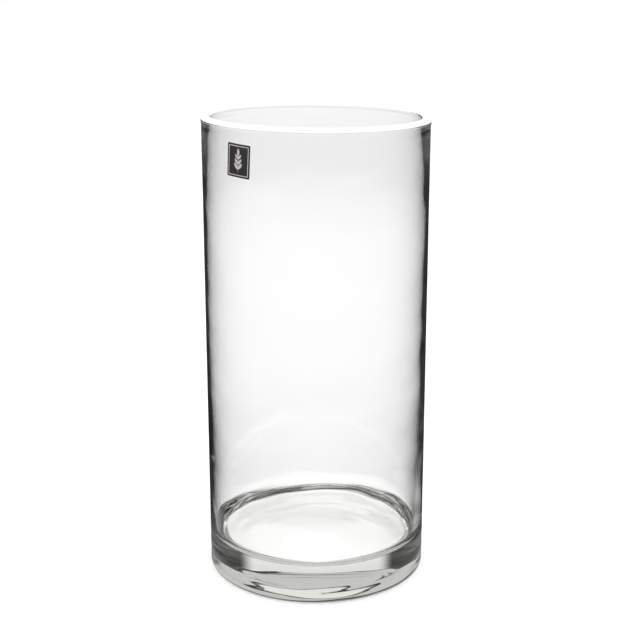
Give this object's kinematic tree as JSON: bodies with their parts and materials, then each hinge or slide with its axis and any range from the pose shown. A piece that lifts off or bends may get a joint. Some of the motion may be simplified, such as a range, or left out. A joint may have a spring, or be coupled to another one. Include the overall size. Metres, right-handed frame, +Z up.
{
  "type": "glass cylinder vase",
  "caption": "Straight clear glass cylinder vase with a thick base, a lip that opens slightly, and a small black foil-stamped label near the rim.",
  "frame": {"origin": "centre of the foot ring, on the plane the vase stands on", "axes": "+Z up along the axis of the cylinder to the mouth, -Y the front, with the label on the wall at the front left, towards -X"},
  "size_m": [0.1496, 0.1496, 0.31],
  "materials": {
    "clear_glass": "polished",
    "clear_glue": "satin",
    "black_film": "semi-gloss",
    "silver_foil": "polished"
  },
  "bodies": {
    "root": {"glass_body": "clear_glass", "label_adhesive": "clear_glue", "label_film": "black_film", "label_border_foil": "silver_foil", "label_emblem_foil": "silver_foil"}
  },
  "joints": []
}
